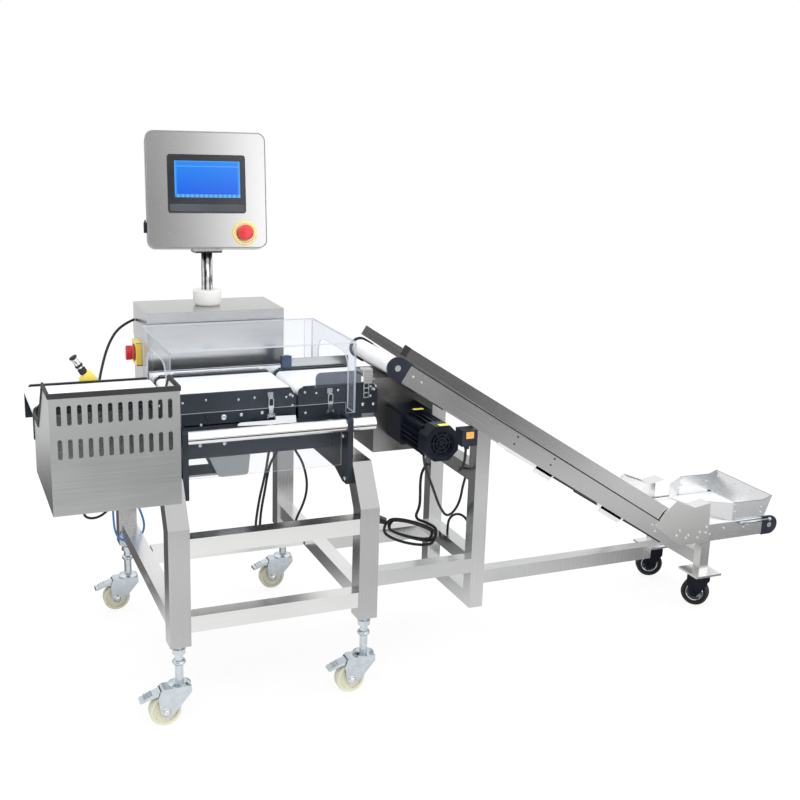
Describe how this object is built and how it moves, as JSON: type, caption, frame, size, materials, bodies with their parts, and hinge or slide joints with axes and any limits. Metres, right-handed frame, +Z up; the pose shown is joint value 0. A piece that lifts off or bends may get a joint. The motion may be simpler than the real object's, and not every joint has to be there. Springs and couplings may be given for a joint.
{
  "type": "checkweigher",
  "caption": "Checkweigher on castors: belt weighing deck under a clear cover, reject bin, cabinet, swivel touch display and inclined infeed conveyor.",
  "frame": {"origin": "on the floor, under the middle of the whole machine's outline", "axes": "+Z up, +X along the belts from the outfeed end to the feeder's loading end, +Y from the operator's side to the cabinet door"},
  "size_m": [2.1568, 0.8879, 1.3647],
  "materials": {
    "stainless_steel": "fine brushed stainless sheet and tube",
    "zinc_steel": "zinc plated pressed steel",
    "polished_steel": "polished tube",
    "dark_plate": "dark anodised plate",
    "roller_aluminium": "turned aluminium",
    "white_belt": "smooth white conveyor belting",
    "black_paint": "satin black paint",
    "black_plastic": "moulded black plastic",
    "black_rubber": "black rubber tread",
    "ivory_nylon": "ivory nylon wheel",
    "clear_acrylic": "clear acrylic sheet",
    "smoked_acrylic": "grey translucent sheet",
    "yellow_plastic": "yellow bracket and metal barrel",
    "red_plastic": "red moulded plastic",
    "cable_black": "black cable sheath"
  },
  "bodies": {
    "machine": {"frame_legs": "stainless_steel", "frame_rails": "stainless_steel", "stand_frame": "stainless_steel", "tail_posts": "stainless_steel", "load_cell": "stainless_steel", "cabinet_shell": "stainless_steel", "feeder_sides": "stainless_steel", "knee_covers": "stainless_steel", "hopper": "stainless_steel", "drive_box": "stainless_steel", "castor_stems": "zinc_steel", "bracket_plates": "dark_plate", "base_beams": "dark_plate", "front_tube": "polished_steel", "clear_skirt": "smoked_acrylic", "weigh_frame": "dark_plate", "transfer_frames": "dark_plate", "conveyor_belts": "white_belt", "conveyor_motors": "black_paint", "guide_plates": "smoked_acrylic", "display_column": "polished_steel", "air_nozzle": "yellow_plastic", "feeder_belt": "white_belt", "roller_caps": "black_plastic", "gearmotor": "black_paint", "junction_box": "black_plastic", "machine_cables": "cable_black", "power_cord": "cable_black", "power_coil": "cable_black", "power_plug": "black_plastic"},
    "fork_front_left": {"castor_fork_front_left": "zinc_steel"},
    "wheel_front_left": {"castor_wheel_front_left": "ivory_nylon"},
    "pedal_front_left": {"castor_pedal_front_left": "zinc_steel"},
    "fork_front_right": {"castor_fork_front_right": "zinc_steel"},
    "wheel_front_right": {"castor_wheel_front_right": "ivory_nylon"},
    "pedal_front_right": {"castor_pedal_front_right": "zinc_steel"},
    "fork_rear_left": {"castor_fork_rear_left": "zinc_steel"},
    "wheel_rear_left": {"castor_wheel_rear_left": "ivory_nylon"},
    "pedal_rear_left": {"castor_pedal_rear_left": "zinc_steel"},
    "fork_rear_right": {"castor_fork_rear_right": "zinc_steel"},
    "wheel_rear_right": {"castor_wheel_rear_right": "ivory_nylon"},
    "pedal_rear_right": {"castor_pedal_rear_right": "zinc_steel"},
    "fork_tail_front": {"castor_fork_tail_front": "black_paint"},
    "wheel_tail_front": {"castor_wheel_tail_front": "black_rubber"},
    "fork_tail_rear": {"castor_fork_tail_rear": "black_paint"},
    "wheel_tail_rear": {"castor_wheel_tail_rear": "black_rubber"},
    "weigh_drive_roller_body": {"weigh_drive_roller": "roller_aluminium"},
    "weigh_idle_roller_body": {"weigh_idle_roller": "roller_aluminium"},
    "infeed_roller_body": {"infeed_roller": "roller_aluminium"},
    "outfeed_roller_body": {"outfeed_roller": "roller_aluminium"},
    "feeder_head_roller_body": {"feeder_head_roller": "roller_aluminium"},
    "feeder_tail_roller_body": {"feeder_tail_roller": "roller_aluminium"},
    "acrylic_cover_body": {"acrylic_cover": "clear_acrylic"},
    "cabinet_door_body": {"cabinet_door": "stainless_steel"},
    "switch_knob_body": {"switch_knob": "red_plastic"},
    "display_head_body": {"display_head": "stainless_steel"},
    "estop_button_body": {"estop_button": "red_plastic"},
    "reject_bin_body": {"reject_bin": "stainless_steel"},
    "latch_lever_left_body": {"latch_lever_left": "zinc_steel"},
    "latch_lever_right_body": {"latch_lever_right": "zinc_steel"}
  },
  "joints": [
    {"name": "swivel_front_left", "type": "hinge", "parent": "machine", "child": "fork_front_left", "pos_m": [-0.7894, -0.264, 0.096], "axis": [0, 0, 1], "continuous": true},
    {"name": "roll_front_left", "type": "hinge", "parent": "fork_front_left", "child": "wheel_front_left", "pos_m": [-0.8254, -0.264, 0.0375], "axis": [0, 1, 0], "continuous": true},
    {"name": "brake_front_left", "type": "hinge", "parent": "fork_front_left", "child": "pedal_front_left", "pos_m": [-0.8334, -0.264, 0.084], "axis": [0, -1, 0], "range_deg": [0, 12]},
    {"name": "swivel_front_right", "type": "hinge", "parent": "machine", "child": "fork_front_right", "pos_m": [-0.3209, -0.264, 0.096], "axis": [0, 0, 1], "continuous": true},
    {"name": "roll_front_right", "type": "hinge", "parent": "fork_front_right", "child": "wheel_front_right", "pos_m": [-0.3569, -0.264, 0.0375], "axis": [0, 1, 0], "continuous": true},
    {"name": "brake_front_right", "type": "hinge", "parent": "fork_front_right", "child": "pedal_front_right", "pos_m": [-0.3649, -0.264, 0.084], "axis": [0, -1, 0], "range_deg": [0, 12]},
    {"name": "swivel_rear_left", "type": "hinge", "parent": "machine", "child": "fork_rear_left", "pos_m": [-0.7894, 0.417, 0.096], "axis": [0, 0, 1], "continuous": true},
    {"name": "roll_rear_left", "type": "hinge", "parent": "fork_rear_left", "child": "wheel_rear_left", "pos_m": [-0.8254, 0.417, 0.0375], "axis": [0, 1, 0], "continuous": true},
    {"name": "brake_rear_left", "type": "hinge", "parent": "fork_rear_left", "child": "pedal_rear_left", "pos_m": [-0.8334, 0.417, 0.084], "axis": [0, -1, 0], "range_deg": [0, 12]},
    {"name": "swivel_rear_right", "type": "hinge", "parent": "machine", "child": "fork_rear_right", "pos_m": [-0.3209, 0.417, 0.096], "axis": [0, 0, 1], "continuous": true},
    {"name": "roll_rear_right", "type": "hinge", "parent": "fork_rear_right", "child": "wheel_rear_right", "pos_m": [-0.3569, 0.417, 0.0375], "axis": [0, 1, 0], "continuous": true},
    {"name": "brake_rear_right", "type": "hinge", "parent": "fork_rear_right", "child": "pedal_rear_right", "pos_m": [-0.3649, 0.417, 0.084], "axis": [0, -1, 0], "range_deg": [0, 12]},
    {"name": "swivel_tail_front", "type": "hinge", "parent": "machine", "child": "fork_tail_front", "pos_m": [0.8256, -0.131, 0.096], "axis": [0, 0, 1], "continuous": true},
    {"name": "roll_tail_front", "type": "hinge", "parent": "fork_tail_front", "child": "wheel_tail_front", "pos_m": [0.82046, -0.12487, 0.041], "axis": [0.766, 0.6428, 0], "continuous": true},
    {"name": "swivel_tail_rear", "type": "hinge", "parent": "machine", "child": "fork_tail_rear", "pos_m": [0.8256, 0.109, 0.096], "axis": [0, 0, 1], "continuous": true},
    {"name": "roll_tail_rear", "type": "hinge", "parent": "fork_tail_rear", "child": "wheel_tail_rear", "pos_m": [0.81835, 0.11238, 0.041], "axis": [0.4226, 0.9063, 0], "continuous": true},
    {"name": "weigh_drive_roller_spin", "type": "hinge", "parent": "machine", "child": "weigh_drive_roller_body", "pos_m": [-0.7505, -0.023, 0.7491], "axis": [0, 1, 0], "continuous": true},
    {"name": "weigh_idle_roller_spin", "type": "hinge", "parent": "machine", "child": "weigh_idle_roller_body", "pos_m": [-0.4733, -0.023, 0.7491], "axis": [0, 1, 0], "continuous": true},
    {"name": "infeed_roller_spin", "type": "hinge", "parent": "machine", "child": "infeed_roller_body", "pos_m": [-0.2563, -0.023, 0.7491], "axis": [0, 1, 0], "continuous": true},
    {"name": "outfeed_roller_spin", "type": "hinge", "parent": "machine", "child": "outfeed_roller_body", "pos_m": [-1.0645, -0.023, 0.7491], "axis": [0, 1, 0], "continuous": true},
    {"name": "feeder_head_roller_spin", "type": "hinge", "parent": "machine", "child": "feeder_head_roller_body", "pos_m": [-0.20287, -0.023, 0.80562], "axis": [0, 1, 0], "continuous": true},
    {"name": "feeder_tail_roller_spin", "type": "hinge", "parent": "machine", "child": "feeder_tail_roller_body", "pos_m": [1.0494, -0.023, 0.24], "axis": [0, 1, 0], "continuous": true},
    {"name": "cover_lift", "type": "slide", "parent": "machine", "child": "acrylic_cover_body", "axis": [0, 0, 1], "range_m": [0, 0.16]},
    {"name": "door_swing", "type": "hinge", "parent": "machine", "child": "cabinet_door_body", "pos_m": [-0.7614, 0.3546, 0.75], "axis": [0, 0, 1], "range_deg": [0, 110]},
    {"name": "switch_turn", "type": "hinge", "parent": "machine", "child": "switch_knob_body", "pos_m": [-0.7654, 0.271, 0.79], "axis": [1, 0, 0], "range_deg": [0, 90]},
    {"name": "display_turn", "type": "hinge", "parent": "machine", "child": "display_head_body", "pos_m": [-0.5854, 0.256, 1.2176], "axis": [0, 0, 1], "range_deg": [-90, 90]},
    {"name": "estop_press", "type": "slide", "parent": "display_head_body", "child": "estop_button_body", "axis": [0.1522, 0.972, -0.1788], "range_m": [0, 0.004], "stiffness_N_per_m": 2000},
    {"name": "bin_lift", "type": "slide", "parent": "machine", "child": "reject_bin_body", "axis": [0, 0, 1], "range_m": [0, 0.3]},
    {"name": "latch_left", "type": "hinge", "parent": "machine", "child": "latch_lever_left_body", "pos_m": [-0.5244, -0.129, 0.701], "axis": [1, 0, 0], "range_deg": [0, 90]},
    {"name": "latch_right", "type": "hinge", "parent": "machine", "child": "latch_lever_right_body", "pos_m": [-0.3714, -0.129, 0.701], "axis": [1, 0, 0], "range_deg": [0, 90]}
  ],
  "couplings": [
    {"joint": "weigh_idle_roller_spin", "follows": "weigh_drive_roller_spin", "ratio": 1},
    {"joint": "feeder_tail_roller_spin", "follows": "feeder_head_roller_spin", "ratio": 1}
  ]
}
